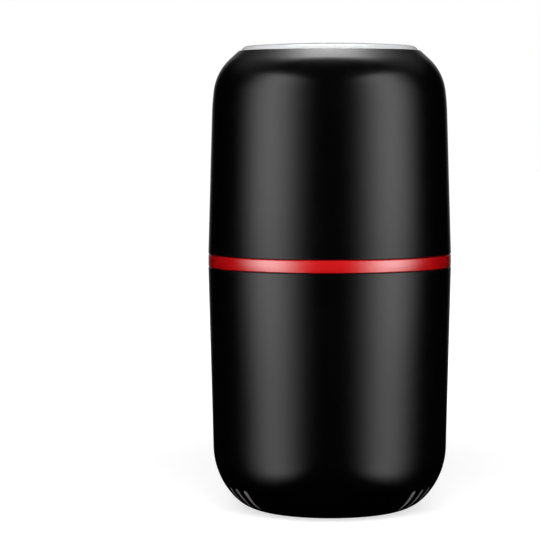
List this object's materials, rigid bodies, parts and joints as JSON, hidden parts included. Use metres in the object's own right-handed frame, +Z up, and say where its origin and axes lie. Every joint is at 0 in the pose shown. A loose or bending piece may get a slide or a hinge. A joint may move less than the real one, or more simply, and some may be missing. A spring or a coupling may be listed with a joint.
{
  "type": "electric coffee grinder",
  "caption": "Tall barrel-shaped electric blade coffee grinder with a lift-off lid, a red band and a clear press cup that switches the motor.",
  "frame": {"origin": "centre of the footprint, on the surface that the feet stand on", "axes": "+Z up along the axis of the body and of the motor; the front faces -Y; the cord inlet, the push rod and the switch are at the rear, +Y; the vents face +X and -X"},
  "size_m": [0.096, 0.096, 0.185],
  "materials": {
    "body_black": "satin gloss",
    "band_red": "gloss",
    "cup_clear": "clear",
    "inner_black": "moulded",
    "screen_grey": "fine mesh",
    "rubber_black": "moulded",
    "seal_brown": "moulded",
    "steel_sheet": "brushed",
    "steel_part": "plated",
    "core_steel": "laminated, varnished",
    "bracket_alloy": "die cast",
    "bronze": "sintered",
    "copper": "enamelled wire",
    "brass_part": "pressed",
    "carbon": "pressed carbon",
    "plastic_white": "moulded",
    "switch_black": "moulded",
    "switch_red": "moulded",
    "capacitor_yellow": "potted",
    "wire_blue": "sleeved wire"
  },
  "bodies": {
    "base": {"base_shell": "body_black", "bottom_cover": "inner_black", "bottom_cover_screws": "steel_part", "rubber_feet": "rubber_black", "vent_screen": "screen_grey", "cord_gland": "rubber_black", "chassis": "inner_black", "chassis_screws": "steel_part", "band_ring": "band_red", "grinding_bowl": "steel_sheet", "bowl_gasket": "rubber_black", "bowl_nut": "steel_part", "shaft_seal": "seal_brown", "upper_bracket": "bracket_alloy", "upper_bearing": "bronze", "lower_bracket": "bracket_alloy", "lower_bearing": "bronze", "stator_core": "core_steel", "coil_bobbins": "plastic_white", "field_coils": "copper", "motor_screws": "steel_part", "motor_mount_screws": "steel_part", "brush_holders": "brass_part", "carbon_brushes": "carbon", "brush_springs": "steel_part", "thermal_fuse": "plastic_white", "suppression_capacitor": "capacitor_yellow", "lead_wires": "wire_blue", "switch_body": "switch_black", "switch_terminals": "brass_part", "switch_screws": "steel_part", "push_rod_spring": "steel_part"},
    "rotor": {"motor_shaft": "steel_part", "armature_core": "core_steel", "armature_windings": "copper", "commutator": "copper", "thrust_washer": "plastic_white", "cooling_fan": "plastic_white", "blade_hub": "inner_black", "blade": "steel_sheet", "blade_nut": "steel_part"},
    "rod": {"push_rod": "plastic_white"},
    "lever": {"switch_lever": "steel_part"},
    "plunger": {"switch_plunger": "switch_red"},
    "lid": {"lid_shell": "body_black", "lid_retainer": "inner_black", "retainer_screws": "steel_part", "cup_springs": "steel_part"},
    "cup": {"press_cup": "cup_clear", "cup_gasket": "rubber_black"}
  },
  "joints": [
    {"name": "lid_lift", "type": "slide", "parent": "base", "child": "lid", "axis": [0, 0, 1], "range_m": [0, 0.09]},
    {"name": "cup_press", "type": "slide", "parent": "lid", "child": "cup", "axis": [0, 0, 1], "range_m": [-0.002, 0], "stiffness_N_per_m": 2500, "springref_m": 0.001, "deforming": ["cup_springs"]},
    {"name": "rod_press", "type": "slide", "parent": "base", "child": "rod", "axis": [0, 0, 1], "range_m": [-0.002, 0], "deforming": ["push_rod_spring"]},
    {"name": "lever_swing", "type": "hinge", "parent": "base", "child": "lever", "pos_m": [-0.0085, 0.0397, 0.066], "axis": [0, 1, 0], "range_deg": [0, 13.5]},
    {"name": "plunger_press", "type": "slide", "parent": "base", "child": "plunger", "axis": [0, 0, 1], "range_m": [-0.0011, 0]},
    {"name": "blade_spin", "type": "hinge", "parent": "base", "child": "rotor", "pos_m": [0, 0, 0.086], "axis": [0, 0, 1], "continuous": true}
  ],
  "couplings": [
    {"joint": "rod_press", "follows": "cup_press", "ratio": 1},
    {"joint": "lever_swing", "follows": "cup_press", "rad_per_m": -117.65},
    {"joint": "plunger_press", "follows": "cup_press", "ratio": 0.52941}
  ]
}
